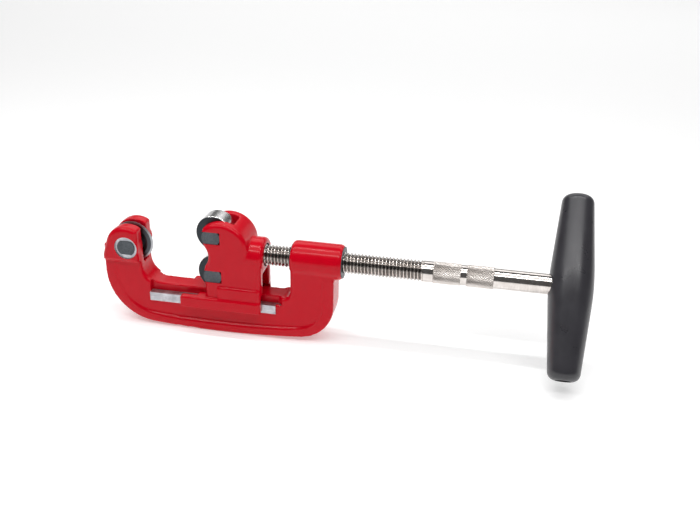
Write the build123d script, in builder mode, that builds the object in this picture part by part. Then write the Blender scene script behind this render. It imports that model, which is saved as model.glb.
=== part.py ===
from build123d import *
from math import atan2, cos, degrees, radians, sin, sqrt
import os

# Pipe cutter for steel pipe, shown gripping one size of pipe.
# Frame: origin where the gripped pipe's axis crosses the spindle's axis, on the casting's middle plane.
# +X runs along the spindle towards the handle, +Y along the pipe, +Z up. Millimetres.

os.makedirs("parts", exist_ok=True)

# ---- driving dimensions -------------------------------------------------------------------------

pipe_dia = 48.3  # outside diameter of the gripped pipe
run_gap = 0.05  # radial clearance of a turning fit
face_gap = 0.3  # gap between faces that pass each other

# cutting wheel and its pin
wheel_dia = 36.8
wheel_edge_thick = 3.2  # disc thickness where the bevels start
wheel_edge_depth = 4.6  # radial length of the bevels
wheel_tip_flat = 0.3
wheel_hub_width = 9.4
wheel_pin_dia = 12.0  # journal
wheel_hub_dia = wheel_pin_dia + 9.0
wheel_pin_head_dia = wheel_pin_dia + 4.0
wheel_pin_flats = wheel_pin_dia + 0.6  # across the flats of the keyed head
wheel_pin_inset = 0.6  # how far the keyed head lies below the front ear
wheel_pin_tail = 2.6  # how far the pin stands out of the rear ear
wheel_pin_chamfer = 0.8
clip_groove_dia = wheel_pin_dia - 2.4
clip_outer_dia = wheel_pin_dia + 4.0
clip_width = 1.2
clip_clear = 0.1

# rollers and their pins
roller_dia = 32.0
roller_width = 16.4
roller_spacing = 4.4  # gap between the two rollers
roller_pin_dia = 16.0
roller_pin_flats = 11.2  # across the flats of each end
roller_pin_inset = 0.6  # how far each end lies below the cheek's face
roller_edge = 1.0

# body of the frame
web_half = 12.8
web_round = 2.8
frame_right_x = 141.6
bar_depth = 39.4  # from the tongue's top to the lowest point
bottom_sag = 7.2  # drop of the curved bottom between its ends
corner_left_r = 46.0
corner_right_r = 31.5
rim_half = web_half + 2.8
rim_height = 9.5
rim_round = 2.6
rim_fade_right = 43.6  # over this length the rim sinks into the web next to the arm
rim_fade_left = 53.3  # and over this length next to the hook
throat_r = 17.0
throat_step = 0.5  # the throat's side lies this far inside the ears' right edge

# hook head of the frame
head_half = rim_half + 1.4
head_round = wheel_dia / 2 + 0.6  # radius of the ears about the wheel pin
head_back = 3.75  # metal behind the ears
head_front = 10.55  # from the wheel pin's axis to the ears' right edge
head_bottom_z = -14.0
head_slope = 20.0  # degrees up the ears' round where the sloping back meets it
head_back_drop = 9.0  # height of the back's upper corner below the spindle axis
head_edge_round = 3.8
ear_gap = wheel_hub_width + 2 * face_gap
wheel_room = 1.3  # radial space round the wheel in its slot
spotface_dia = wheel_pin_head_dia + 4.4
spotface_depth = 1.2

# guide bar
roller_to_bar = 0.6  # gap under the lower roller
tongue_half = 8.0
tongue_height = 7.0
land_half = web_half + 1.8
land_height = 8.0
land_from_throat = 7.0
land_to_arm = 12.4

# arm, nut boss, nut and lock screw
thread_dia = 18.0
arm_depth = 38.4
arm_inner_r = 6.0
nut_od = thread_dia + 7.0
nut_flange_od = nut_od + 2.4
nut_flange_thick = 1.6
boss_wall = 3.0
boss_stand_out = 6.6  # past the arm's right face
boss_lip = 0.5  # past the arm's left face
boss_round = 4.0
lock_screw_dia = 5.0
lock_screw_in = 8.8  # from the arm's left face
lock_screw_sink = 0.8  # below the boss's surface
lock_depth = 1.5  # how far the screw's tip enters the nut
lock_socket_depth = 2.0

# slide (roller housing)
cheek_wall = 9.5
cheek_front = 7.19  # from the roller axes to the cheeks' left edge
cheek_over = 12.5  # rise of the arch above the upper roller's axis
arch_crown = 2.0  # how far the top of the arch lies behind the roller axes
arch_drop = 4.0  # the arch's left end lies this much below a true circle
cheek_back_inset = 1.0  # the cheeks end this far before the boss's face
cheek_back_taper = 0.5
slot_centre_shift = 0.25  # play at the closed end of a pin slot
concave_r = 15.0  # hollow in the cheeks' left edge
concave_depth = 3.6
bay_back = 2.2  # space behind the rollers
bore_wall = 4.01  # metal between the bay and the thrust disc
boss_start = 2.01  # the slide's boss begins this far behind the bay
slide_boss_wall = 4.3
boss_length_past_journal = 18.8
band_front = 4.21  # from the roller axes to the thicker band's left end
band_height = 11.6  # above the skirts
band_wall = 1.8  # band's thickness past the cheeks
skirt_wall = 3.2
skirt_drop = 3.8  # from the tongue's top to the skirts' tops
skirt_height = 10.6
skirt_front = 29.79  # from the roller axes to the skirts' left end
skirt_inset = 1.6
foot_front = 14.2  # the feet beside the tongue start this far behind the skirts' ends
foot_inset = 10.8  # and end this far before the boss's face, so that the slide can open fully
slide_round = 3.6
step_round = 1.4  # along the tops of the band and the skirts
rear_corner_r = 4.0  # upright corners of the band and the skirts next to the arm
tongue_side_play = 0.25
tongue_top_play = 0.4
land_side_play = 0.2
ledge_play = 0.1
hollow_back = 6.0  # the hollow under the boss starts this far behind the bay

# spindle
journal_dia = thread_dia - 4.0
groove_dia = journal_dia - 3.6  # groove in the journal that the keeper pins run in
groove_in = 6.5  # from the journal's tip
keeper_dia = 4.0
keeper_play = 0.1
keeper_sink = 0.5  # how far the keeper pins stop short of the boss's underside
journal_length = 13.0
thread_clear = 2.6  # width added to the counterbore that the thread's start turns in
neck_dia = thread_dia - 0.8
plain_collar_right_x = 224.6
knurl_dia = thread_dia + 0.6
neck_left_x = 247.2
neck_right_x = 252.2
shaft_left_x = 274.4
shaft_dia = thread_dia - 0.9
spindle_chamfer = 1.0
thrust_disc_thick = 3.0

# handle
handle_x = 336.7
handle_length = 155.0
handle_mid_dia = 37.6
handle_mid_round = 220.0  # soft bend of the grip's outline at its middle
handle_end_dia = 25.4
handle_end_round = 7.0
handle_lean = 38.0  # turn of the handle about the spindle, top towards +Y
handle_hole_dia = 13.4
handle_hole_depth = 26.0
insert_flats = shaft_dia + 4.9  # across the flats of the steel insert
insert_half = 11.0
shaft_past_middle = 9.0
handle_pin_dia = 5.0

# ---- derived places -----------------------------------------------------------------------------

past = 1.0  # how far a cut runs past the face it opens
wheel_x = -(pipe_dia + wheel_dia) / 2
roller_half_pitch = (roller_dia + roller_spacing) / 2  # each roller's height off the spindle axis
roller_x = sqrt(((pipe_dia + roller_dia) / 2) ** 2 - roller_half_pitch**2)

frame_left_x = wheel_x - head_round - head_back
head_flat_x = wheel_x + head_front
throat_x = head_flat_x + throat_step
bar_top_z = -roller_half_pitch - roller_dia / 2 - roller_to_bar
ledge_z = bar_top_z - tongue_height
land_bottom_z = ledge_z - land_height
frame_bottom_z = bar_top_z - bar_depth
bar_mid_x = (frame_left_x + frame_right_x) / 2
arm_left_x = frame_right_x - arm_depth
boss_left_x = arm_left_x - boss_lip
boss_right_x = frame_right_x + boss_stand_out
boss_r = nut_od / 2 + boss_wall
lock_screw_x = arm_left_x + lock_screw_in
land_left_x = throat_x + land_from_throat
land_right_x = arm_left_x - land_to_arm

bay_half = roller_width / 2 + face_gap
bay_right_x = roller_x + roller_dia / 2 + bay_back
cheek_half = bay_half + cheek_wall
cheek_left_x = roller_x - cheek_front
cheek_arch_r = roller_half_pitch + cheek_over
slot_right_x = roller_x + roller_pin_dia / 2 + slot_centre_shift
disc_left_x = bay_right_x + bore_wall
journal_end_x = disc_left_x + thrust_disc_thick
groove_x = journal_end_x + groove_in
thread_left_x = journal_end_x + journal_length
boss_bore_dia = thread_dia + thread_clear
slide_boss_r = boss_bore_dia / 2 + slide_boss_wall
slide_boss_left_x = bay_right_x + boss_start
slide_right_x = journal_end_x + boss_length_past_journal
band_left_x = roller_x + band_front
step_half = cheek_half + band_wall
skirt_half = cheek_half + skirt_wall
skirt_top_z = bar_top_z - skirt_drop
skirt_bottom_z = skirt_top_z - skirt_height
step_z = skirt_top_z + band_height
skirt_left_x = roller_x - skirt_front
skirt_right_x = slide_right_x - skirt_inset
foot_left_x = skirt_left_x + foot_front
foot_right_x = slide_right_x - foot_inset
side_plane = Plane.XZ  # its normal points towards -Y


def rod(dia, start_x, end_x, y=0.0, z=0.0):
    """A solid cylinder along X."""
    cylinder = Cylinder(dia / 2, end_x - start_x, rotation=(0, 90, 0), mode=Mode.PRIVATE)
    return cylinder.moved(Location(((start_x + end_x) / 2, y, z)))


def cross_rod(dia, half, x=0.0, z=0.0):
    """A solid cylinder along Y, centred on the middle plane."""
    cylinder = Cylinder(dia / 2, 2 * half, rotation=(90, 0, 0), mode=Mode.PRIVATE)
    return cylinder.moved(Location((x, 0, z)))


def block(x0, x1, y0, y1, z0, z1):
    """A plain block between two corners."""
    box = Box(x1 - x0, y1 - y0, z1 - z0, mode=Mode.PRIVATE)
    return box.moved(Location(((x0 + x1) / 2, (y0 + y1) / 2, (z0 + z1) / 2)))


def save(part, label):
    """Name a finished piece and write its STEP file."""
    part.label = label
    export_step(part, f"parts/{label}.step")


# ---- frame casting ------------------------------------------------------------------------------

bottom_end_z = frame_bottom_z + bottom_sag

# The outside of the C: straight left side, sagging bottom, straight right side, two round corners.
with BuildSketch(side_plane) as outline:
    with BuildLine():
        ThreePointArc(
            (frame_left_x, bottom_end_z), (bar_mid_x, frame_bottom_z), (frame_right_x, bottom_end_z)
        )
        Polyline(
            (frame_right_x, bottom_end_z),
            (frame_right_x, 0),
            (frame_left_x, 0),
            (frame_left_x, bottom_end_z),
        )
    make_face()
    fillet(outline.vertices().group_by(Axis.Y)[0].sort_by(Axis.X)[0], corner_left_r)
    fillet(outline.vertices().filter_by(lambda v: v.Y < -1).sort_by(Axis.X)[-1], corner_right_r)

# The open inside of the C, down to the bar's top.
with BuildSketch(side_plane) as throat:
    with BuildLine():
        Polyline(
            (throat_x, 40),
            (throat_x, bar_top_z),
            (arm_left_x, bar_top_z),
            (arm_left_x, 40),
            close=True,
        )
    make_face()
    fillet(throat.vertices().group_by(Axis.Y)[0].sort_by(Axis.X)[0], throat_r)
    fillet(throat.vertices().group_by(Axis.Y)[0].sort_by(Axis.X)[-1], arm_inner_r)

# The web that carries the hook, the bar and the arm.
with BuildPart() as web:
    with BuildSketch(side_plane):
        add(outline.sketch)
        add(throat.sketch, mode=Mode.SUBTRACT)
    extrude(amount=web_half, both=True)
    fillet(web.edges().group_by(Axis.Y)[-1] + web.edges().group_by(Axis.Y)[0], web_round)

# The rounded rim along the left side, the bottom and the right side.
with BuildPart() as rim:
    with BuildSketch(side_plane):
        add(outline.sketch)
        offset(outline.sketch, amount=-rim_height, mode=Mode.SUBTRACT)
        with Locations((bar_mid_x, head_bottom_z + past)):
            Rectangle(
                2 * frame_right_x, -head_bottom_z, align=(Align.CENTER, Align.MIN), mode=Mode.SUBTRACT
            )
    extrude(amount=rim_half, both=True)
    fillet(rim.edges().group_by(Axis.Y)[-1] + rim.edges().group_by(Axis.Y)[0], rim_round)
    # Both sides slope in towards the arm and the hook until the rim is flush with the web.
    fades = ((1, rim_fade_right, frame_right_x), (-1, rim_fade_left, frame_left_x))
    for outwards, fade_length, end_x in fades:
        fade_x = end_x - outwards * fade_length
        fade_turn = degrees(atan2(rim_half - web_half, fade_length))
        for side in (-1, 1):
            wedge = block(
                min(0, outwards * 2 * fade_length),
                max(0, outwards * 2 * fade_length),
                min(0, side * rim_half),
                max(0, side * rim_half),
                frame_bottom_z - rim_half,
                rim_half,
            )
            fade_place = Location((fade_x, side * rim_half, 0), (0, 0, -side * outwards * fade_turn))
            add(wedge.moved(fade_place), mode=Mode.SUBTRACT)

# The thick hook head: two ears round the wheel pin, joined down its left side.
with BuildPart() as head:
    with BuildSketch(side_plane):
        with Locations((wheel_x, 0)):
            Circle(head_round)
        with BuildLine():
            Polyline(
                (frame_left_x, head_bottom_z),
                (frame_left_x, -head_back_drop),
                (wheel_x - head_round * cos(radians(head_slope)), head_round * sin(radians(head_slope))),
                (wheel_x, 0),
                (wheel_x + head_round, 0),
                (wheel_x + head_round, head_bottom_z),
                close=True,
            )
        make_face()
        with Locations((head_flat_x, 0)):
            Rectangle(head_round, 3 * head_round, align=(Align.MIN, Align.CENTER), mode=Mode.SUBTRACT)
        with Locations((wheel_x, head_bottom_z)):
            Rectangle(4 * head_round, head_round, align=(Align.CENTER, Align.MAX), mode=Mode.SUBTRACT)
    extrude(amount=head_half, both=True)
    fillet(head.edges().group_by(Axis.Y)[-1] + head.edges().group_by(Axis.Y)[0], head_edge_round)

# The round boss that holds the nut.
with BuildPart() as boss:
    add(rod(2 * boss_r, boss_left_x, boss_right_x))
    fillet(boss.edges().filter_by(GeomType.CIRCLE), boss_round)

with BuildPart() as frame_casting:
    add(web.part)
    add(rim.part)
    add(head.part)
    # Side reliefs that leave the tongue standing on the bar, with the rounded end a cutter leaves.
    for side in (-1, 1):
        outer = side * (web_half + past)
        inner = side * tongue_half
        relief = block(
            land_left_x, land_right_x, min(outer, inner), max(outer, inner), ledge_z, bar_top_z + past
        )
        add(relief, mode=Mode.SUBTRACT)
        run_out = Cylinder(web_half - tongue_half, tongue_height + past, mode=Mode.PRIVATE)
        run_out_z = (bar_top_z + past + ledge_z) / 2
        add(run_out.moved(Location((land_right_x, side * web_half, run_out_z))), mode=Mode.SUBTRACT)
        # The land that the slide rides on, standing a little proud of the web.
        land_in = side * (tongue_half - past)
        land_out = side * land_half
        add(
            block(
                land_left_x,
                land_right_x,
                min(land_in, land_out),
                max(land_in, land_out),
                land_bottom_z,
                ledge_z,
            )
        )
    add(boss.part)
    # Slot for the cutting wheel, open at the top and towards the throat.
    slot_r = wheel_dia / 2 + wheel_room
    add(cross_rod(2 * slot_r, ear_gap / 2, wheel_x), mode=Mode.SUBTRACT)
    slot_block = block(
        frame_left_x - past, wheel_x, -ear_gap / 2, ear_gap / 2, head_bottom_z / 2, head_round + past
    )
    add(slot_block, mode=Mode.SUBTRACT)
    # Wheel pin holes: a keyed hole with a spot face in the front ear, a round one in the rear ear.
    front_hole = cross_rod(wheel_pin_head_dia, head_half + past, wheel_x) & block(
        frame_left_x, 0, -head_half - past, 0, -wheel_pin_flats / 2, wheel_pin_flats / 2
    )
    add(front_hole, mode=Mode.SUBTRACT)
    add(cross_rod(wheel_pin_dia, head_half + past, wheel_x), mode=Mode.SUBTRACT)
    for side in (-1, 1):
        spotface = Cylinder(spotface_dia / 2, spotface_depth, rotation=(90, 0, 0), mode=Mode.PRIVATE)
        spot_y = side * (head_half - spotface_depth / 2)
        add(spotface.moved(Location((wheel_x, spot_y, 0))), mode=Mode.SUBTRACT)
    # Bore for the nut, with a counterbore for its flange.
    add(rod(nut_od, boss_left_x - past, boss_right_x + past), mode=Mode.SUBTRACT)
    flange_x = boss_right_x - nut_flange_thick
    add(rod(nut_flange_od, flange_x, boss_right_x + past), mode=Mode.SUBTRACT)
    lock_hole = Cylinder(lock_screw_dia / 2, boss_r, mode=Mode.PRIVATE).rotate(Axis.X, -90)
    add(lock_hole.moved(Location((lock_screw_x, nut_od / 2, 0))), mode=Mode.SUBTRACT)
save(frame_casting.part, "frame_casting")

# ---- nut and its lock screw ---------------------------------------------------------------------

with BuildPart() as spindle_nut:
    add(rod(nut_od, boss_left_x, boss_right_x - nut_flange_thick))
    add(rod(nut_flange_od, boss_right_x - nut_flange_thick, boss_right_x))
    add(rod(thread_dia + 2 * run_gap, boss_left_x - past, boss_right_x + past), mode=Mode.SUBTRACT)
    dimple = Cylinder(lock_screw_dia / 2, 2 * lock_depth, mode=Mode.PRIVATE).rotate(Axis.X, -90)
    add(dimple.moved(Location((lock_screw_x, nut_od / 2, 0))), mode=Mode.SUBTRACT)
save(spindle_nut.part, "spindle_nut")

lock_start_y = nut_od / 2 - lock_depth
lock_end_y = boss_r - lock_screw_sink
with BuildPart() as nut_lock_screw:
    with BuildSketch(Plane.XZ.offset(-lock_start_y)):
        with Locations((lock_screw_x, 0)):
            Circle(lock_screw_dia / 2)
    extrude(amount=-(lock_end_y - lock_start_y))
    with BuildSketch(Plane.XZ.offset(-lock_end_y)):
        with Locations((lock_screw_x, 0)):
            RegularPolygon(lock_screw_dia / 4, 6)
    extrude(amount=lock_socket_depth, mode=Mode.SUBTRACT)
save(nut_lock_screw.part, "nut_lock_screw")

# ---- cutting wheel, pin and clip ----------------------------------------------------------------

wheel_r = wheel_dia / 2
with BuildPart() as cutter_wheel:
    with BuildSketch(Plane.XY):
        with BuildLine():
            Polyline(
                (wheel_x + wheel_pin_dia / 2 + run_gap, -wheel_hub_width / 2),
                (wheel_x + wheel_hub_dia / 2, -wheel_hub_width / 2),
                (wheel_x + wheel_hub_dia / 2, -wheel_edge_thick / 2),
                (wheel_x + wheel_r - wheel_edge_depth, -wheel_edge_thick / 2),
                (wheel_x + wheel_r, -wheel_tip_flat / 2),
                (wheel_x + wheel_r, wheel_tip_flat / 2),
                (wheel_x + wheel_r - wheel_edge_depth, wheel_edge_thick / 2),
                (wheel_x + wheel_hub_dia / 2, wheel_edge_thick / 2),
                (wheel_x + wheel_hub_dia / 2, wheel_hub_width / 2),
                (wheel_x + wheel_pin_dia / 2 + run_gap, wheel_hub_width / 2),
                close=True,
            )
        make_face()
    revolve(axis=Axis((wheel_x, 0, 0), (0, 1, 0)))
save(cutter_wheel.part, "cutter_wheel")

pin_front_y = -head_half + wheel_pin_inset
pin_rear_y = head_half + wheel_pin_tail
clip_seat_y = head_half - spotface_depth
with BuildPart() as wheel_pin:
    journal = Cylinder(wheel_pin_dia / 2, pin_rear_y - pin_front_y, rotation=(90, 0, 0), mode=Mode.PRIVATE)
    add(journal.moved(Location((wheel_x, (pin_front_y + pin_rear_y) / 2, 0))))
    head_end_y = -ear_gap / 2
    keyed_head = cross_rod(wheel_pin_head_dia, head_half, wheel_x) & block(
        frame_left_x, 0, pin_front_y, head_end_y, -wheel_pin_flats / 2, wheel_pin_flats / 2
    )
    add(keyed_head)
    chamfer(wheel_pin.edges().group_by(Axis.Y)[-1], wheel_pin_chamfer)
    groove = Cylinder(wheel_pin_dia, clip_width + 2 * clip_clear, rotation=(90, 0, 0), mode=Mode.PRIVATE)
    groove_core = Cylinder(clip_groove_dia / 2, clip_width + past, rotation=(90, 0, 0), mode=Mode.PRIVATE)
    groove_place = Location((wheel_x, clip_seat_y + clip_width / 2 + clip_clear, 0))
    add((groove - groove_core).moved(groove_place), mode=Mode.SUBTRACT)
save(wheel_pin.part, "wheel_pin")

with BuildPart() as wheel_pin_clip:
    with BuildSketch(Plane.XZ.offset(-clip_seat_y)):
        with Locations((wheel_x, 0)):
            Circle(clip_outer_dia / 2)
            Circle(clip_groove_dia / 2, mode=Mode.SUBTRACT)
        with Locations((wheel_x, -wheel_pin_dia / 2)):
            Rectangle(clip_groove_dia * 0.6, wheel_pin_dia, mode=Mode.SUBTRACT)
    extrude(amount=-clip_width)
save(wheel_pin_clip.part, "wheel_pin_clip")

# ---- slide --------------------------------------------------------------------------------------

seat_half = tongue_half + tongue_side_play  # the slide's inner faces beside the tongue
slide_floor_z = ledge_z + ledge_play
arch_end_z = 0.0
arch_end_x = roller_x + sqrt(cheek_arch_r**2 - arch_end_z**2)
arch_start_x = cheek_left_x
arch_start_z = sqrt(cheek_arch_r**2 - cheek_front**2) - arch_drop
cheek_right_x = slide_right_x - cheek_back_inset

# Side view of the two cheeks with the web between them.
with BuildPart() as cheeks:
    with BuildSketch(side_plane):
        with BuildLine():
            ThreePointArc(
                (arch_start_x, arch_start_z),
                (roller_x + arch_crown, cheek_arch_r),
                (arch_end_x, arch_end_z),
            )
            Polyline(
                (arch_end_x, arch_end_z),
                (cheek_right_x, arch_end_z),
                (cheek_right_x - cheek_back_taper, slide_floor_z),
                (arch_start_x, slide_floor_z),
                (arch_start_x, arch_start_z),
            )
        make_face()
        # The hollow in the left edge, between the two pin slots.
        with Locations((cheek_left_x + concave_depth - concave_r, 0)):
            Circle(concave_r, mode=Mode.SUBTRACT)
    extrude(amount=cheek_half, both=True)
    fillet(cheeks.edges().group_by(Axis.Y)[-1] + cheeks.edges().group_by(Axis.Y)[0], slide_round)

# The boss round the bore is as wide as the cheeks, so that they run smoothly into it.
with BuildPart() as slide_boss:
    with BuildSketch(Plane.YZ.offset(slide_boss_left_x)):
        Ellipse(cheek_half, slide_boss_r)
    extrude(amount=slide_right_x - slide_boss_left_x)
    fillet(slide_boss.edges().group_by(Axis.X)[-1], boss_round)

with BuildPart() as band:
    band_bottom_z = (skirt_bottom_z + skirt_top_z) / 2
    add(block(band_left_x, skirt_right_x, -step_half, step_half, band_bottom_z, step_z))
    fillet(band.edges().filter_by(Axis.Z).group_by(Axis.X)[-1], rear_corner_r)
    fillet(band.edges().group_by(Axis.Z)[-1], step_round)

with BuildPart() as skirt:
    add(block(skirt_left_x, skirt_right_x, -skirt_half, skirt_half, skirt_bottom_z, skirt_top_z))
    fillet(skirt.edges().filter_by(Axis.Z).group_by(Axis.X)[-1], rear_corner_r)
    fillet(skirt.edges().group_by(Axis.Z)[-1], step_round)

with BuildPart() as slide_housing:
    add(cheeks.part)
    add(slide_boss.part)
    add(band.part)
    add(skirt.part)
    # The bay between the cheeks where the rollers turn.
    bay_top = cheek_arch_r + past
    bay = block(skirt_left_x - past, bay_right_x, -bay_half, bay_half, skirt_bottom_z - past, bay_top)
    add(bay, mode=Mode.SUBTRACT)
    # The passage over the tongue, and the room between the skirts for the lands.
    room_left_x = skirt_left_x - past
    room_right_x = slide_right_x + past
    room_bottom_z = skirt_bottom_z - past
    room_top_z = bar_top_z + tongue_top_play
    tongue_room = block(room_left_x, room_right_x, -seat_half, seat_half, room_bottom_z, room_top_z)
    add(tongue_room, mode=Mode.SUBTRACT)
    land_room_half = land_half + land_side_play
    land_room = block(
        room_left_x, room_right_x, -land_room_half, land_room_half, room_bottom_z, slide_floor_z
    )
    add(land_room, mode=Mode.SUBTRACT)
    # Ahead of the feet the skirts stand clear of the hook's web.
    front_room = block(room_left_x, foot_left_x, -land_room_half, land_room_half, room_bottom_z, 0)
    add(front_room, mode=Mode.SUBTRACT)
    # Behind the feet the slide passes over the bar's full width.
    rear_room = block(
        foot_right_x, room_right_x, -land_room_half, land_room_half, room_bottom_z, room_top_z
    )
    add(rear_room, mode=Mode.SUBTRACT)
    # The hollow at the back, under the boss.
    hollow_half = bay_half + past
    hollow_left_x = bay_right_x + hollow_back
    back_hollow = block(
        hollow_left_x, room_right_x, -hollow_half, hollow_half, room_bottom_z, -slide_boss_r
    )
    add(back_hollow, mode=Mode.SUBTRACT)
    # Open-ended slots for the flats of the roller pins.
    for level in (-roller_half_pitch, roller_half_pitch):
        slot = block(
            cheek_left_x - past,
            roller_x,
            -cheek_half - past,
            cheek_half + past,
            level - roller_pin_flats / 2,
            level + roller_pin_flats / 2,
        )
        slot_end = cross_rod(2 * (slot_right_x - roller_x), cheek_half + past, roller_x, level) & block(
            roller_x - past,
            slot_right_x + past,
            -cheek_half - past,
            cheek_half + past,
            level - roller_pin_flats / 2,
            level + roller_pin_flats / 2,
        )
        add(slot, mode=Mode.SUBTRACT)
        add(slot_end, mode=Mode.SUBTRACT)
    # Stepped bore for the spindle's end: thrust disc, journal, then the start of the thread.
    add(rod(journal_dia + 2 * run_gap, disc_left_x, slide_right_x + past), mode=Mode.SUBTRACT)
    add(rod(boss_bore_dia, thread_left_x - face_gap, slide_right_x + past), mode=Mode.SUBTRACT)
    # Blind holes, drilled up from the hollow, for the two keeper pins.
    keeper_y = groove_dia / 2 + keeper_play + keeper_dia / 2
    keeper_top_z = journal_dia / 2
    for side in (-1, 1):
        hole = Cylinder(keeper_dia / 2, keeper_top_z + slide_boss_r + past, mode=Mode.PRIVATE)
        hole_z = (keeper_top_z - slide_boss_r - past) / 2
        add(hole.moved(Location((groove_x, side * keeper_y, hole_z))), mode=Mode.SUBTRACT)
save(slide_housing.part, "slide_housing")

# ---- what holds the spindle's end ---------------------------------------------------------------

with BuildPart() as thrust_disc:
    add(rod(journal_dia + 2 * run_gap, disc_left_x, journal_end_x - run_gap))
save(thrust_disc.part, "thrust_disc")

# Two pins that pass the journal's groove on either side: the spindle turns but can't pull out.
with BuildPart() as keeper_pins:
    for side in (-1, 1):
        pin = Cylinder(keeper_dia / 2, keeper_top_z + slide_boss_r - keeper_sink, mode=Mode.PRIVATE)
        pin_z = (keeper_top_z - slide_boss_r + keeper_sink) / 2
        add(pin.moved(Location((groove_x, side * keeper_y, pin_z))))
save(keeper_pins.part, "keeper_pins")

# ---- rollers and their pins ---------------------------------------------------------------------

pin_half = cheek_half - roller_pin_inset
for name, level in (("upper", roller_half_pitch), ("lower", -roller_half_pitch)):
    with BuildPart() as roller:
        add(cross_rod(roller_dia, roller_width / 2, roller_x, level))
        fillet(roller.edges().filter_by(GeomType.CIRCLE), roller_edge)
        add(
            cross_rod(roller_pin_dia + 2 * run_gap, roller_width, roller_x, level),
            mode=Mode.SUBTRACT,
        )
    save(roller.part, f"{name}_roller")

    with BuildPart() as roller_pin:
        add(cross_rod(roller_pin_dia, pin_half, roller_x, level))
        for side in (-1, 1):
            near = side * bay_half
            far = side * (pin_half + past)
            for direction in (-1, 1):
                flat = level + direction * roller_pin_flats / 2
                beyond = level + direction * roller_pin_dia
                add(
                    block(
                        roller_x - roller_pin_dia,
                        roller_x + roller_pin_dia,
                        min(near, far),
                        max(near, far),
                        min(flat, beyond),
                        max(flat, beyond),
                    ),
                    mode=Mode.SUBTRACT,
                )
    save(roller_pin.part, f"{name}_roller_pin")

# ---- spindle ------------------------------------------------------------------------------------

shaft_right_x = handle_x + shaft_past_middle
pin_turn = Location((handle_x, 0, 0), (-handle_lean, 0, 0))  # stands the pin along the handle
with BuildPart() as spindle:
    add(rod(journal_dia, journal_end_x, thread_left_x))
    add(rod(thread_dia, thread_left_x, plain_collar_right_x))
    add(rod(knurl_dia, plain_collar_right_x, shaft_left_x))
    neck_core = rod(neck_dia, neck_left_x - past, neck_right_x + past)
    neck = rod(2 * knurl_dia, neck_left_x, neck_right_x) - neck_core
    add(neck, mode=Mode.SUBTRACT)
    groove_half = keeper_dia / 2 + keeper_play
    ring = rod(thread_dia, groove_x - groove_half, groove_x + groove_half)
    ring_core = rod(groove_dia, groove_x - keeper_dia, groove_x + keeper_dia)
    add(ring - ring_core, mode=Mode.SUBTRACT)
    add(rod(shaft_dia, shaft_left_x, shaft_right_x))
    chamfer(spindle.edges().group_by(Axis.X)[0] + spindle.edges().group_by(Axis.X)[-1], spindle_chamfer)
    pin_hole = Cylinder(handle_pin_dia / 2, 2 * shaft_dia, mode=Mode.PRIVATE)
    add(pin_hole.moved(pin_turn), mode=Mode.SUBTRACT)
save(spindle.part, "spindle")

# ---- handle -------------------------------------------------------------------------------------

# A six-sided steel insert that the plastic is moulded round.
with BuildPart() as handle_insert:
    with BuildSketch(Plane.YZ.offset(handle_x - insert_half)):
        RegularPolygon(insert_flats / 2, 6, major_radius=False, rotation=-handle_lean)
        Circle(shaft_dia / 2, mode=Mode.SUBTRACT)
    extrude(amount=2 * insert_half)
    insert_hole = Cylinder(handle_pin_dia / 2, 2 * insert_flats, mode=Mode.PRIVATE)
    add(insert_hole.moved(pin_turn), mode=Mode.SUBTRACT)
save(handle_insert.part, "handle_insert")

with BuildPart() as handle_pin:
    add(Cylinder(handle_pin_dia / 2, insert_flats, mode=Mode.PRIVATE).moved(pin_turn))
save(handle_pin.part, "handle_pin")

# The grip tapers from its middle to both ends; its ends are rounded and cored out.
half_length = handle_length / 2
with BuildPart() as grip:
    with BuildSketch(Plane.XZ) as grip_outline:
        with BuildLine():
            Polyline(
                (0, -half_length),
                (handle_end_dia / 2, -half_length),
                (handle_mid_dia / 2, 0),
                (handle_end_dia / 2, half_length),
                (0, half_length),
                close=True,
            )
        make_face()
        fillet(grip_outline.vertices().sort_by(Axis.X)[-1], handle_mid_round)
    revolve(axis=Axis.Z)
    fillet(grip.edges().group_by(Axis.Z)[-1] + grip.edges().group_by(Axis.Z)[0], handle_end_round)
    with Locations((0, 0, half_length - handle_hole_depth / 2), (0, 0, handle_hole_depth / 2 - half_length)):
        Cylinder(handle_hole_dia / 2, handle_hole_depth, mode=Mode.SUBTRACT)

with BuildPart() as handle:
    add(grip.part.moved(pin_turn))
    add(rod(shaft_dia, handle_x - handle_mid_dia, handle_x), mode=Mode.SUBTRACT)
    with BuildSketch(Plane.YZ.offset(handle_x - insert_half)):
        RegularPolygon(insert_flats / 2, 6, major_radius=False, rotation=-handle_lean)
    extrude(amount=2 * insert_half, mode=Mode.SUBTRACT)
save(handle.part, "handle")
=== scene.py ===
import math

import bmesh
import bpy
from mathutils import Matrix, Vector


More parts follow.
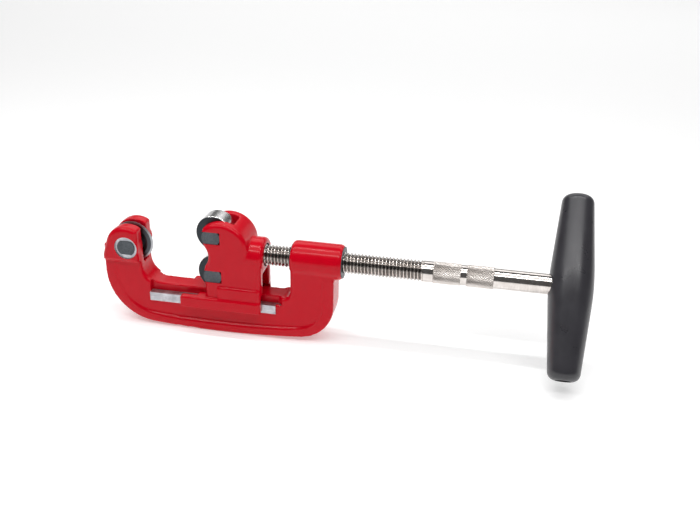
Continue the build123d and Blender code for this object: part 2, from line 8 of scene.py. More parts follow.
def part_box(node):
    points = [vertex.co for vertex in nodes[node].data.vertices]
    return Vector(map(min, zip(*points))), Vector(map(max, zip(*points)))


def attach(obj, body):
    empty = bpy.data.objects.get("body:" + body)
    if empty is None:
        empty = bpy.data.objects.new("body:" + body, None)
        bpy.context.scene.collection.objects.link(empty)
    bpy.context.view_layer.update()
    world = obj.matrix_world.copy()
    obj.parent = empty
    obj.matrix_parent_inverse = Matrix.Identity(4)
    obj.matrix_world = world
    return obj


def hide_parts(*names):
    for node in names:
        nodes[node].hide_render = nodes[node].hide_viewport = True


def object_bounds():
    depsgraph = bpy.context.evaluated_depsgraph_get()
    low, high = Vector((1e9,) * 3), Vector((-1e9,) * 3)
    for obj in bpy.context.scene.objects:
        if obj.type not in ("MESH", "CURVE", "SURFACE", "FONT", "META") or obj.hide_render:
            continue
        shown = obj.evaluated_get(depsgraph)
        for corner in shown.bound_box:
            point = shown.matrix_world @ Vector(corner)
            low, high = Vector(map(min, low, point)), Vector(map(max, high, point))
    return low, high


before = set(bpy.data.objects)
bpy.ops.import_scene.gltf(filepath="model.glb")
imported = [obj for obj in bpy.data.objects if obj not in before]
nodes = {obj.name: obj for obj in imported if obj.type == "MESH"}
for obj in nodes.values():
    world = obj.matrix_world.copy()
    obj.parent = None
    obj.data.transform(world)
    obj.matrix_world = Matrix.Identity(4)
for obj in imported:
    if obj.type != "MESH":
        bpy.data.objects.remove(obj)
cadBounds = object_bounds()
mm = 0.001
print("stage: frame loaded,", len(nodes), "nodes")


# ---- small helpers ----

def linearColour(hexCode):  # sRGB hex to the linear colour that shaders expect
    channels = [int(hexCode[i:i + 2], 16) / 255 for i in (1, 3, 5)]
    curve = [c / 12.92 if c <= 0.04045 else ((c + 0.055) / 1.055) ** 2.4 for c in channels]
    return (*curve, 1.0)


def addNode(tree, kind, inputs=None, **settings):  # one node, with its settings, values and links
    node = tree.nodes.new(kind)
    for name, value in settings.items():
        setattr(node, name, value)
    for key, value in (inputs or {}).items():
        if isinstance(value, bpy.types.NodeSocket):
            tree.links.new(value, node.inputs[key])
        else:
            node.inputs[key].default_value = value
    return node


def newPiece(name, mesh):
    piece = bpy.data.objects.new(name, mesh)
    bpy.context.scene.collection.objects.link(piece)
    return piece


def bakeModifiers(piece):  # the evaluated shape becomes the piece's plain mesh
    bpy.context.view_layer.update()
    evaluated = piece.evaluated_get(bpy.context.evaluated_depsgraph_get())
    mesh = bpy.data.meshes.new_from_object(evaluated)
    piece.modifiers.clear()
    old = piece.data
    piece.data = mesh
    bpy.data.meshes.remove(old)
    return piece


def smoothByAngle(mesh, degreesLimit):
    mesh.polygons.foreach_set("use_smooth", [True] * len(mesh.polygons))
    mesh.set_sharp_from_angle(angle=math.radians(degreesLimit))


# ---- camera, floor and light ----

camera = {
    "lens": 43.75,  # mm on a 36 mm wide sensor
    "place": (269.16, -639.07, 317.83),  # mm
    "azimuth": 10.29,
    "elevation": 26.19,
    "roll": 1.435,  # the right-hand side of the view tips up by this much
}


def aimCamera():
    data = bpy.data.cameras.new("studioCamera")
    data.lens = camera["lens"]
    data.sensor_width = 36
    data.dof.use_dof = False
    data.clip_start = 0.01
    viewer = bpy.data.objects.new("studioCamera", data)
    bpy.context.scene.collection.objects.link(viewer)
    turn = math.radians(camera["azimuth"])
    drop = math.radians(camera["elevation"])
    roll = math.radians(camera["roll"])
    ahead = Vector((-math.sin(turn) * math.cos(drop), math.cos(turn) * math.cos(drop), -math.sin(drop)))
    level = Vector((math.cos(turn), math.sin(turn), 0))
    upright = level.cross(ahead)
    right = level * math.cos(roll) + upright * math.sin(roll)
    up = -level * math.sin(roll) + upright * math.cos(roll)
    axes = Matrix((right, up, -ahead)).transposed()
    viewer.matrix_world = Matrix.Translation(Vector(camera["place"]) * mm) @ axes.to_4x4()
    bpy.context.scene.camera = viewer


studio = {
    "floorSize": 8.0,  # metres
    "floorColour": "#E6E6E6",
    "floorGlow": 0.36,  # a lit table: keeps the far floor as pale as the near one
    "floorRoughness": 0.9,
    "floorDrop": 0.0001,  # metres below the lowest point
    "roofHeight": 0.9,  # overhead soft box, metres above the spindle
    "roofFront": -0.60,
    "roofBack": 0.06,
    "roofLength": 1.9,
    "roofCentre": 0.12,
    "roofPower": 3.8,  # watts
    "tubes": (0.03, -0.50),  # a bright tube along each side of the soft box, metres along Y
    "tubeWidth": 0.035,
    "tubeDrop": 0.005,  # below the soft box's face
    "tubePower": 5.6,
    "farLampPlace": (0.1, 1.8, 1.5),  # lights the table beyond the cutter
    "farLampSize": (4.0, 1.6),
    "farLampPower": 30.0,
    "backdropHeight": 1.1,  # the table's far edge curves up this far
    "roomGrey": 0.10,
}


def addLamp(name, place, size, power):
    data = bpy.data.lights.new(name, "AREA")
    data.shape = "RECTANGLE"
    data.size, data.size_y = size
    data.energy = power
    lamp = bpy.data.objects.new(name, data)
    lamp.location = place
    bpy.context.scene.collection.objects.link(lamp)


def lightStudio():
    floorMaterial = bpy.data.materials.new("matt_white_table")
    floorMaterial.use_nodes = True
    shader = floorMaterial.node_tree.nodes["Principled BSDF"]
    shader.inputs["Base Color"].default_value = linearColour(studio["floorColour"])
    shader.inputs["Roughness"].default_value = studio["floorRoughness"]
    shader.inputs["Emission Color"].default_value = (1, 1, 1, 1)
    shader.inputs["Emission Strength"].default_value = studio["floorGlow"]
    half = studio["floorSize"] / 2
    level = cadBounds[0][2] - studio["floorDrop"]
    mesh = bpy.data.meshes.new("floor")
    top = studio["backdropHeight"]
    corners = [(-half, -half, level), (half, -half, level), (half, half, level), (-half, half, level),
               (half, half, top), (-half, half, top)]
    mesh.from_pydata(corners, [], [(0, 1, 2, 3), (3, 2, 4, 5)])
    mesh.materials.append(floorMaterial)
    newPiece("floor", mesh)

    middle = (studio["roofBack"] + studio["roofFront"]) / 2
    roofSize = (studio["roofLength"], studio["roofBack"] - studio["roofFront"])
    roofPlace = (studio["roofCentre"], middle, studio["roofHeight"])
    addLamp("roofSoftBox", roofPlace, roofSize, studio["roofPower"])
    tubeSize = (studio["roofLength"], studio["tubeWidth"])
    tubeHeight = studio["roofHeight"] - studio["tubeDrop"]
    for along in studio["tubes"]:
        addLamp("roofTube", (studio["roofCentre"], along, tubeHeight), tubeSize, studio["tubePower"])
    addLamp("farLamp", studio["farLampPlace"], studio["farLampSize"], studio["farLampPower"])

    world = bpy.data.worlds.new("room")
    world.use_nodes = True
    grey = studio["roomGrey"]
    world.node_tree.nodes["Background"].inputs["Color"].default_value = (grey, grey, grey, 1)
    bpy.context.scene.world = world
    bpy.context.scene.view_settings.view_transform = "Standard"


aimCamera()
lightStudio()
print("stage: camera and light")


# ---- materials ----

def startMaterial(name):
    material = bpy.data.materials.new(name)
    material.use_nodes = True
    tree = material.node_tree
    shader = tree.nodes["Principled BSDF"]
    place = addNode(tree, "ShaderNodeTexCoord").outputs["Object"]
    return material, tree, shader, place


def perMetre(sizeInMm):  # a texture's scale for a pattern of this real size
    return 1 / (sizeInMm * mm)


# Gloss enamel over a sand-cast skin: the paint evens the grain out but leaves a fine ripple in its
# highlights.
castEnamel = {
    "colour": "#CC001C",
    "shade": "#C3001A",
    "grain": 1.1,  # mm, sand grain under the paint
    "grainDepth": 0.024,  # mm
    "ripple": 7.0,  # mm, the casting's own unevenness
    "rippleDepth": 0.09,
    "roughness": 0.19,
    "specular": 0.22,
}


def makeCastEnamel():
    material, tree, shader, place = startMaterial("gloss_enamel_on_cast_iron")
    grain = addNode(tree, "ShaderNodeTexNoise", {
        "Vector": place, "Scale": perMetre(castEnamel["grain"]), "Detail": 3.0, "Roughness": 0.55})
    ripple = addNode(tree, "ShaderNodeTexNoise", {
        "Vector": place, "Scale": perMetre(castEnamel["ripple"]), "Detail": 2.0})
    rippleBump = addNode(tree, "ShaderNodeBump", {
        "Height": ripple.outputs["Fac"], "Distance": castEnamel["rippleDepth"] * mm, "Strength": 1.0})
    grainBump = addNode(tree, "ShaderNodeBump", {
        "Height": grain.outputs["Fac"], "Distance": castEnamel["grainDepth"] * mm, "Strength": 1.0,
        "Normal": rippleBump.outputs["Normal"]})
    tint = addNode(tree, "ShaderNodeMix", {
        0: ripple.outputs["Fac"], 6: linearColour(castEnamel["shade"]),
        7: linearColour(castEnamel["colour"])}, data_type="RGBA")
    gloss = addNode(tree, "ShaderNodeMapRange", {
        "Value": grain.outputs["Fac"], "From Min": 0.3, "From Max": 0.7,
        "To Min": castEnamel["roughness"] - 0.05, "To Max": castEnamel["roughness"] + 0.06})
    tree.links.new(tint.outputs[2], shader.inputs["Base Color"])
    tree.links.new(gloss.outputs["Result"], shader.inputs["Roughness"])
    tree.links.new(grainBump.outputs["Normal"], shader.inputs["Normal"])
    shader.inputs["Specular IOR Level"].default_value = castEnamel["specular"]
    return material


# Bare metal with tool marks: one function, a dictionary for each finish.
# stretch is the length of a tool mark against its spacing along X, Y and Z.
milledIron = {  # cast iron faced by a milling cutter: pale, dull, with straight lines along the bar
    "name": "milled_cast_iron", "light": "#D3D4D8", "dark": "#A3A4AA", "spacing": 0.5,
    "stretch": (16, 1, 1), "depth": 0.02, "roughness": 0.42, "metallic": 1.0}
platedSteel = {  # nickel-plated bar, polished: mirror bands with faint turning lines round it
    "name": "nickel_plated_steel", "light": "#E4DEDA", "dark": "#CFC8C3", "spacing": 0.6,
    "stretch": (1, 14, 14), "depth": 0.002, "roughness": 0.13, "metallic": 1.0}
rolledThread = {  # thread rolled in plated bar: bright crests, with painted shade that darkens the flanks towards the roots
    "name": "rolled_thread_steel", "light": "#DDD6D1", "dark": "#B8B0AA", "spacing": 0.8,
    "stretch": (1, 8, 8), "depth": 0.004, "roughness": 0.20, "metallic": 1.0, "paintedRootShade": (7.5, 8.8, 0.3)}
knurledSteel = {  # knurl pressed into plated bar: many small facets read as a pale matt grey, with painted shade in the grooves between the diamonds
    "name": "knurled_steel", "light": "#EFE9E4", "dark": "#D2CAC4", "spacing": 0.9,
    "stretch": (1, 1, 1), "depth": 0.004, "roughness": 0.36, "metallic": 1.0, "paintedRootShade": (8.6, 9.0, 0.45)}
groundSteel = {  # hardened steel, ground
    "name": "ground_bearing_steel", "light": "#D9D8D8", "dark": "#B5B5B8", "spacing": 0.4,
    "stretch": (8, 1, 8), "depth": 0.004, "roughness": 0.20, "metallic": 1.0}
blackenedSteel = {  # steel pins blackened in hot oxide: dark blue grey, satin
    "name": "black_oxide_steel", "light": "#5C6166", "dark": "#43474B", "spacing": 1.6,
    "stretch": (1, 1, 1), "depth": 0.012, "roughness": 0.42, "metallic": 0.75}


def makeBareMetal(finish):
    material, tree, shader, place = startMaterial(finish["name"])
    marks = addNode(tree, "ShaderNodeMapping", {"Vector": place, "Scale": [1 / s for s in finish["stretch"]]})
    lines = addNode(tree, "ShaderNodeTexNoise", {
        "Vector": marks.outputs["Vector"], "Scale": perMetre(finish["spacing"]), "Detail": 4.0,
        "Roughness": 0.6})
    cloud = addNode(tree, "ShaderNodeTexNoise", {
        "Vector": place, "Scale": perMetre(finish["spacing"] * 12), "Detail": 2.0})
    both = addNode(tree, "ShaderNodeMath", {0: lines.outputs["Fac"], 1: cloud.outputs["Fac"]},
                   operation="MULTIPLY")
    spread = addNode(tree, "ShaderNodeMapRange", {
        "Value": both.outputs[0], "From Min": 0.15, "From Max": 0.38})
    tint = addNode(tree, "ShaderNodeMix", {
        0: spread.outputs["Result"], 6: linearColour(finish["dark"]), 7: linearColour(finish["light"])},
        data_type="RGBA")
    colour = tint.outputs[2]
    if "paintedRootShade" in finish:  # painted shade in the thread roots and knurl grooves: root radius, crest radius, and how bright the shaded roots are left
        root, crest, left = finish["paintedRootShade"]
        across = addNode(tree, "ShaderNodeMapping", {"Vector": place, "Scale": (0, 1, 1)})
        radius = addNode(tree, "ShaderNodeVectorMath", {0: across.outputs["Vector"]}, operation="LENGTH")
        rootShadeFactor = addNode(tree, "ShaderNodeMapRange", {
            "Value": radius.outputs["Value"], "From Min": root * mm, "From Max": crest * mm, "To Min": left})
        colour = addNode(tree, "ShaderNodeMix", {0: 1.0, 6: colour, 7: rootShadeFactor.outputs["Result"]},
                         data_type="RGBA", blend_type="MULTIPLY").outputs[2]
    rough = addNode(tree, "ShaderNodeMapRange", {
        "Value": lines.outputs["Fac"], "From Min": 0.3, "From Max": 0.7,
        "To Min": finish["roughness"] * 0.8, "To Max": finish["roughness"] * 1.25})
    bump = addNode(tree, "ShaderNodeBump", {
        "Height": lines.outputs["Fac"], "Distance": finish["depth"] * mm, "Strength": 1.0})
    tree.links.new(colour, shader.inputs["Base Color"])
    tree.links.new(rough.outputs["Result"], shader.inputs["Roughness"])
    tree.links.new(bump.outputs["Normal"], shader.inputs["Normal"])
    shader.inputs["Metallic"].default_value = finish["metallic"]
    return material


# Rollers: hardened steel, ground bright round the rim, left dark on the ends.
rollerSteel = {
    "rim": "#E4E3E3",
    "end": "#3E4347",
    "lines": 0.4,  # mm, spacing of the grinding lines round the rim
    "lineDepth": 0.003,  # mm
    "roughness": 0.17,
    "endRoughness": 0.5,
}


def makeRollerSteel():
    material, tree, shader, place = startMaterial("ground_and_hardened_roller_steel")
    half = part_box("upper_roller")[1].y
    across = addNode(tree, "ShaderNodeSeparateXYZ", {0: place}).outputs["Y"]
    out = addNode(tree, "ShaderNodeMath", {0: across}, operation="ABSOLUTE").outputs[0]
    end = addNode(tree, "ShaderNodeMapRange", {
        "Value": out, "From Min": half - 0.45 * mm, "From Max": half - 0.15 * mm}).outputs["Result"]
    lines = addNode(tree, "ShaderNodeTexNoise", {
        "W": across, "Scale": perMetre(rollerSteel["lines"]), "Detail": 3.0}, noise_dimensions="1D")
    bump = addNode(tree, "ShaderNodeBump", {
        "Height": lines.outputs["Fac"], "Distance": rollerSteel["lineDepth"] * mm, "Strength": 1.0})
    tint = addNode(tree, "ShaderNodeMix", {
        0: end, 6: linearColour(rollerSteel["rim"]), 7: linearColour(rollerSteel["end"])}, data_type="RGBA")
    rough = addNode(tree, "ShaderNodeMapRange", {
        "Value": end, "To Min": rollerSteel["roughness"], "To Max": rollerSteel["endRoughness"]})
    tree.links.new(tint.outputs[2], shader.inputs["Base Color"])
    tree.links.new(rough.outputs["Result"], shader.inputs["Roughness"])
    tree.links.new(bump.outputs["Normal"], shader.inputs["Normal"])
    shader.inputs["Metallic"].default_value = 1.0
    return material


# Cutting wheel: tool steel, dark from hardening, with the bevels ground bright.
toolSteelWheel = {
    "dark": "#4A4C50",
    "bright": "#A9ABAF",
    "groundWidth": 1.6,  # mm, radial width of the ground bevel
    "lines": 0.35,  # mm, spacing of the grinding lines
    "lineDepth": 0.006,  # mm
    "roughness": 0.3,
}


def makeWheelSteel():
    material, tree, shader, place = startMaterial("hardened_tool_steel")
    low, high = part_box("cutter_wheel")
    centre = (low + high) / 2
    fromAxle = addNode(tree, "ShaderNodeMapping", {"Vector": place, "Location": (-centre.x, 0, -centre.z),
                                                   "Scale": (1, 0, 1)})
    radius = addNode(tree, "ShaderNodeVectorMath", {0: fromAxle.outputs["Vector"]}, operation="LENGTH")
    edge = (high.x - low.x) / 2 - toolSteelWheel["groundWidth"] * mm
    ground = addNode(tree, "ShaderNodeMapRange", {
        "Value": radius.outputs["Value"], "From Min": edge - 0.2 * mm, "From Max": edge + 0.2 * mm})
    rings = addNode(tree, "ShaderNodeTexNoise", {
        "W": radius.outputs["Value"], "Scale": perMetre(toolSteelWheel["lines"]), "Detail": 3.0},
        noise_dimensions="1D")
    bump = addNode(tree, "ShaderNodeBump", {
        "Height": rings.outputs["Fac"], "Distance": toolSteelWheel["lineDepth"] * mm, "Strength": 1.0})
    tint = addNode(tree, "ShaderNodeMix", {
        0: ground.outputs["Result"], 6: linearColour(toolSteelWheel["dark"]),
        7: linearColour(toolSteelWheel["bright"])}, data_type="RGBA")
    rough = addNode(tree, "ShaderNodeMapRange", {
        "Value": rings.outputs["Fac"], "To Min": toolSteelWheel["roughness"] - 0.08,
        "To Max": toolSteelWheel["roughness"] + 0.12})
    tree.links.new(tint.outputs[2], shader.inputs["Base Color"])
    tree.links.new(rough.outputs["Result"], shader.inputs["Roughness"])
    tree.links.new(bump.outputs["Normal"], shader.inputs["Normal"])
    shader.inputs["Metallic"].default_value = 1.0
    return material


# Grip: glass-filled polyamide, moulded in a blasted tool: charcoal, satin, with an even fine grain.
mouldedGrip = {
    "colour": "#2E2D31",
    "pale": "#37363B",
    "grain": 0.45,  # mm, the blasted tool's grain, drawn a little coarse so that it shows
    "grainDepth": 0.008,
    "flow": 16.0,  # mm, slow changes of gloss where the melt flowed
    "roughness": 0.30,
}


def makeGripPlastic():
    material, tree, shader, place = startMaterial("moulded_polyamide")
    grain = addNode(tree, "ShaderNodeTexNoise", {
        "Vector": place, "Scale": perMetre(mouldedGrip["grain"]), "Detail": 2.0})
    flow = addNode(tree, "ShaderNodeTexNoise", {
        "Vector": place, "Scale": perMetre(mouldedGrip["flow"]), "Detail": 3.0})
    bump = addNode(tree, "ShaderNodeBump", {
        "Height": grain.outputs["Fac"], "Distance": mouldedGrip["grainDepth"] * mm, "Strength": 1.0})
    tint = addNode(tree, "ShaderNodeMix", {
        0: flow.outputs["Fac"], 6: linearColour(mouldedGrip["colour"]), 7: linearColour(mouldedGrip["pale"])},
        data_type="RGBA")
    rough = addNode(tree, "ShaderNodeMapRange", {
        "Value": flow.outputs["Fac"], "From Min": 0.3, "From Max": 0.7,
        "To Min": mouldedGrip["roughness"] - 0.05, "To Max": mouldedGrip["roughness"] + 0.07})
    tree.links.new(tint.outputs[2], shader.inputs["Base Color"])
    tree.links.new(rough.outputs["Result"], shader.inputs["Roughness"])
    tree.links.new(bump.outputs["Normal"], shader.inputs["Normal"])
    shader.inputs["IOR"].default_value = 1.53
    return material


enamel = makeCastEnamel()
milled = makeBareMetal(milledIron)
plated = makeBareMetal(platedSteel)
threadSteel = makeBareMetal(rolledThread)
knurlSteel = makeBareMetal(knurledSteel)
ground = makeBareMetal(groundSteel)
roller = makeRollerSteel()
blackened = makeBareMetal(blackenedSteel)
wheelSteel = makeWheelSteel()
gripPlastic = makeGripPlastic()
print("stage: materials")


def finishNode(name, material):
    nodes[name].data.materials.clear()
    nodes[name].data.materials.append(material)


for name, material in {
    "cutter_wheel": wheelSteel, "wheel_pin": blackened, "wheel_pin_clip": blackened,
    "upper_roller": roller, "lower_roller": roller, "upper_roller_pin": blackened,
    "lower_roller_pin": blackened, "thrust_disc": ground, "keeper_pins": ground,
    "spindle_nut": blackened, "nut_lock_screw": blackened, "handle": gripPlastic,
    "handle_insert": blackened, "handle_pin": ground,
    "frame_casting": enamel, "slide_housing": enamel, "spindle": plated,
}.items():
    finishNode(name, material)


# ---- tools that cut or add to a casting ----

def boxTool(mesh, low, high, slots=None):
    # slots gives a face's material by the side that it is on, such as "-Z", or "all" for every side.
    low, high = Vector(low) * mm, Vector(high) * mm
    made = bmesh.ops.create_cube(mesh, size=1.0)["verts"]
    for vert in made:
        vert.co = Vector(low[i] if vert.co[i] < 0 else high[i] for i in range(3))
    for face in {f for v in made for f in v.link_faces}:
        face.normal_update()
        axis = max(range(3), key=lambda i: abs(face.normal[i]))
        side = ("+" if face.normal[axis] > 0 else "-") + "XYZ"[axis]
        face.material_index = (slots or {}).get(side, (slots or {}).get("all", 0))


def rodTool(mesh, axis, radius, low, high, centre, slot=0, capSlot=None, steps=72):
    # centre is the place on the other two axes; low and high are the ends along the rod's own.
    length = (high - low) * mm
    made = bmesh.ops.create_cone(
        mesh, cap_ends=True, segments=steps, radius1=radius * mm, radius2=radius * mm, depth=length)["verts"]
    turns = {"X": Matrix.Rotation(math.pi / 2, 3, "Y"), "Y": Matrix.Rotation(-math.pi / 2, 3, "X"),
             "Z": Matrix.Identity(3)}
    middle = (low + high) / 2
    places = {"X": (middle, *centre), "Y": (centre[0], middle, centre[1]), "Z": (*centre, middle)}
    for vert in made:
        vert.co = turns[axis] @ vert.co + Vector(places[axis]) * mm
    for face in {f for v in made for f in v.link_faces}:
        face.material_index = slot if capSlot is None or len(face.verts) == 4 else capSlot


def toolPiece(name, fill):
    mesh = bmesh.new()
    fill(mesh)
    data = bpy.data.meshes.new(name)
    mesh.to_mesh(data)
    mesh.free()
    for material in (enamel, milled):
        data.materials.append(material)
    piece = newPiece(name, data)
    piece.hide_render = True
    return piece


castSharpAngle = 32  # degrees: only machined edges are sharper than this
skewTurn = 0.61  # radians: a turn during remeshing keeps long edges from lying along the voxels
skewAxis = (0.48, 0.66, 0.58)


def castSkin(nodeName, pieceName, voxel, passes, stock):
    # The designed shape, remeshed and relaxed so that every cast edge and corner is round.
    mesh = bmesh.new()
    mesh.from_mesh(nodes[nodeName].data)
    bmesh.ops.remove_doubles(mesh, verts=mesh.verts, dist=0.001 * mm)
    stock(mesh)  # metal that the cutting tools take away again
    data = bpy.data.meshes.new(pieceName)
    mesh.to_mesh(data)
    mesh.free()
    for material in (enamel, milled):
        data.materials.append(material)
    data.polygons.foreach_set("material_index", [0] * len(data.polygons))
    askew = Matrix.Rotation(skewTurn, 4, Vector(skewAxis))
    data.transform(askew)
    piece = newPiece(pieceName, data)
    remesh = piece.modifiers.new("skin", "REMESH")
    remesh.mode = "VOXEL"
    remesh.voxel_size = voxel * mm
    relax = piece.modifiers.new("round", "SMOOTH")
    relax.factor = 0.5
    relax.iterations = passes
    bakeModifiers(piece)
    piece.data.transform(askew.inverted())
    return piece


def machine(piece, tool, operation):
    cut = piece.modifiers.new("cut", "BOOLEAN")
    cut.operation = operation
    cut.solver = "MANIFOLD"
    cut.object = tool
    bakeModifiers(piece)
    data = tool.data
    bpy.data.objects.remove(tool)
    bpy.data.meshes.remove(data)
    print("   ", piece.name, operation.lower(), len(piece.data.polygons), "faces")


# ---- frame casting ----

castFrame = {
    "voxel": 0.85, "passes": 9,
    "wheelX": -42.55, "earFace": 17.0, "spotface": 10.2, "spotDepth": 1.2,
    "pinHole": 6.0,
    "landLeft": -24.5, "landRight": 90.8, "landHalf": 14.6, "landBottom": -49.8, "ledge": -41.8,
    "tongueHalf": 8.0, "barTop": -34.8, "webHalf": 12.8, "skinBack": 0.6, "landClear": 0.4,
    "bossEnd": 148.2, "nutRadius": 12.5, "flangeRadius": 13.7, "flangeThick": 1.6, "bossStart": 103.2,
    "lockX": 112.0, "lockRadius": 2.5,
}


def buildFrame():
    size = castFrame
    ear = size["earFace"]

    def stock(mesh):  # fills the machined holes, and stands a little proud where a face is cut
        for side in (-1, 1):
            faces = sorted((side * 5.0, side * (ear - 0.1)))
            rodTool(mesh, "Y", size["spotface"] + 1, *faces, (size["wheelX"], 0))
        rodTool(mesh, "X", size["flangeRadius"], size["bossStart"] + 0.2, size["bossEnd"] - 0.1, (0, 0))
        rodTool(mesh, "Y", size["lockRadius"] + 1, 10.0, 15.0, (size["lockX"], 0))

    def cuts(mesh):
        for side in (-1, 1):
            outer = sorted((side * (ear - size["spotDepth"]), side * (ear + 4)))
            rodTool(mesh, "Y", size["spotface"], *outer, (size["wheelX"], 0), slot=1)
            reach = sorted((side * size["tongueHalf"], side * (size["webHalf"] + 4)))
            boxTool(mesh, (size["landLeft"], reach[0], size["ledge"]),
                    (size["landRight"], reach[1], size["barTop"] + 3), {"-Z": 1})
            # The skin is cut back under and round each land, so that no paint lies in its faces.
            around = size["landClear"]
            beside = sorted((side * (size["landHalf"] - size["skinBack"]), side * (size["landHalf"] + 4)))
            boxTool(mesh, (size["landLeft"] - around, beside[0], size["landBottom"] - around),
                    (size["landRight"] + around, beside[1], size["ledge"] + 0.5), {"all": 1})

    def holes(mesh):
        rodTool(mesh, "Y", size["pinHole"], -ear - 1, ear + 1, (size["wheelX"], 0), slot=1)
        rodTool(mesh, "X", size["nutRadius"], size["bossStart"] - 3, size["bossEnd"] + 1, (0, 0), slot=1)
        for side in (-1, 1):
            rodTool(mesh, "Z", size["webHalf"] - size["tongueHalf"], size["ledge"], size["barTop"] + 3,
                    (size["landRight"], side * size["webHalf"]), capSlot=1, steps=48)

    def faces(mesh):
        rodTool(mesh, "X", size["flangeRadius"], size["bossEnd"] - size["flangeThick"], size["bossEnd"] + 2,
                (0, 0), slot=1)
        rodTool(mesh, "Y", size["lockRadius"], 11.0, 20.0, (size["lockX"], 0), slot=0, steps=32)

    def lands(mesh):
        for side in (-1, 1):
            reach = sorted((side * (size["tongueHalf"] - 1), side * size["landHalf"]))
            boxTool(mesh, (size["landLeft"], reach[0], size["landBottom"]),
                    (size["landRight"], reach[1], size["ledge"]), {"all": 1})

    piece = castSkin("frame_casting", "cast_frame", size["voxel"], size["passes"], stock)
    machine(piece, toolPiece("reliefCutter", cuts), "DIFFERENCE")
    machine(piece, toolPiece("holeCutter", holes), "DIFFERENCE")
    machine(piece, toolPiece("faceCutter", faces), "DIFFERENCE")
    machine(piece, toolPiece("landBlocks", lands), "UNION")
    smoothByAngle(piece.data, castSharpAngle)
    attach(piece, "frame")
    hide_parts("frame_casting")


buildFrame()
print("stage: frame casting")


# ---- slide housing ----

castSlide = {
    "voxel": 0.75, "passes": 6,
    "rollerX": 35.79, "rollerLevel": 18.2, "pinFlats": 5.6, "slotEnd": 8.25, "cheekLeft": 28.6,
    "cheekHalf": 18.0, "bayHalf": 8.5,
    "bossRight": 79.8, "boreRadius": 10.3, "boreStart": 73.7,
    "seatHalf": 8.25, "seatTop": -34.4, "landRoom": 14.8, "floor": -41.7, "bottom": -49.2,
    "skirtLeft": 6.0,
}


def buildSlide():
    size = castSlide

    def stock(mesh):
        rodTool(mesh, "X", size["boreRadius"] + 1, size["boreStart"], size["bossRight"] - 0.1, (0, 0))
        for level in (-size["rollerLevel"], size["rollerLevel"]):
            for side in (-1, 1):
                faces = sorted((side * (size["bayHalf"] + 0.1), side * (size["cheekHalf"] - 0.1)))
                boxTool(mesh, (size["cheekLeft"], faces[0], level - size["pinFlats"] - 0.5),
                        (size["rollerX"] + size["slotEnd"] + 0.5, faces[1], level + size["pinFlats"] + 0.5))

    def cuts(mesh):
        rodTool(mesh, "X", size["boreRadius"], size["boreStart"], size["bossRight"] + 2, (0, 0), slot=1)
        for level in (-size["rollerLevel"], size["rollerLevel"]):
            end = size["rollerX"] + size["slotEnd"]
            boxTool(mesh, (size["cheekLeft"] - 5, -size["cheekHalf"] - 3, level - size["pinFlats"]),
                    (end, size["cheekHalf"] + 3, level + size["pinFlats"]))

    def passage(mesh):
        boxTool(mesh, (size["skirtLeft"] - 2, -size["seatHalf"], size["bottom"] - 2),
                (size["bossRight"] + 2, size["seatHalf"], size["seatTop"]), {"all": 1})

    def landRoom(mesh):
        boxTool(mesh, (size["skirtLeft"] - 2, -size["landRoom"], size["bottom"] - 2),
                (size["bossRight"] + 2, size["landRoom"], size["floor"]), {"all": 1})

    piece = castSkin("slide_housing", "cast_slide", size["voxel"], size["passes"], stock)
    machine(piece, toolPiece("slotCutter", cuts), "DIFFERENCE")
    machine(piece, toolPiece("passageCutter", passage), "DIFFERENCE")
    machine(piece, toolPiece("landCutter", landRoom), "DIFFERENCE")
    smoothByAngle(piece.data, castSharpAngle)
    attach(piece, "slide")
    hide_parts("slide_housing")


buildSlide()
print("stage: slide housing")


# ---- spindle: turned bar, rolled thread and knurled bands ----

def groupInput(tree, name, kind, default):
    socket = tree.interface.new_socket(name, in_out="INPUT", socket_type="NodeSocket" + kind)
    if default is not None:
        socket.default_value = default
    return socket


def nodeMath(tree, operation, first, second=0.0, third=0.0, clamp=False):
    return addNode(tree, "ShaderNodeMath", {0: first, 1: second, 2: third},
                   operation=operation, use_clamp=clamp).outputs[0]


def shaftTree(name, inputs, radiusOf):
    # A closed bar along X whose radius at each point comes from how far round and how far along it is.
    tree = bpy.data.node_groups.new(name, "GeometryNodeTree")
    tree.is_modifier = True
    given = {}
    for label, kind, value in [("Start", "Float", 0.0), ("Length", "Float", 0.01), ("Round Steps", "Int", 48),
                               ("Length Steps", "Int", 48), ("Finish", "Material", None)] + inputs:
        given[label] = groupInput(tree, label, kind, value)
    tree.interface.new_socket("Geometry", in_out="OUTPUT", socket_type="NodeSocketGeometry")
    entry = tree.nodes.new("NodeGroupInput")
    value = {label: entry.outputs[label] for label in given}
    bar = addNode(tree, "GeometryNodeMeshCylinder", {
        "Vertices": value["Round Steps"], "Side Segments": value["Length Steps"], "Radius": 1.0,
        "Depth": value["Length"]}, fill_type="NGON").outputs["Mesh"]
    spot = addNode(tree, "ShaderNodeSeparateXYZ", {
        0: addNode(tree, "GeometryNodeInputPosition").outputs[0]}).outputs
    angle = nodeMath(tree, "ARCTAN2", spot["Y"], spot["X"])
    turn = nodeMath(tree, "DIVIDE", angle, math.tau)
    along = nodeMath(tree, "ADD", spot["Z"], nodeMath(tree, "DIVIDE", value["Length"], 2.0))
    radius = radiusOf(tree, value, turn, along)
    place = addNode(tree, "ShaderNodeCombineXYZ", {
        "X": nodeMath(tree, "ADD", along, value["Start"]),
        "Y": nodeMath(tree, "MULTIPLY", radius, nodeMath(tree, "COSINE", angle)),
        "Z": nodeMath(tree, "MULTIPLY", radius, nodeMath(tree, "SINE", angle))}).outputs[0]
    moved = addNode(tree, "GeometryNodeSetPosition", {"Geometry": bar, "Position": place}).outputs[0]
    real = addNode(tree, "GeometryNodeRealizeInstances", {0: moved}).outputs[0]
    done = addNode(tree, "GeometryNodeSetMaterial", {
        "Geometry": real, "Material": value["Finish"]}).outputs[0]
    addNode(tree, "NodeGroupOutput", {"Geometry": done})
    return tree


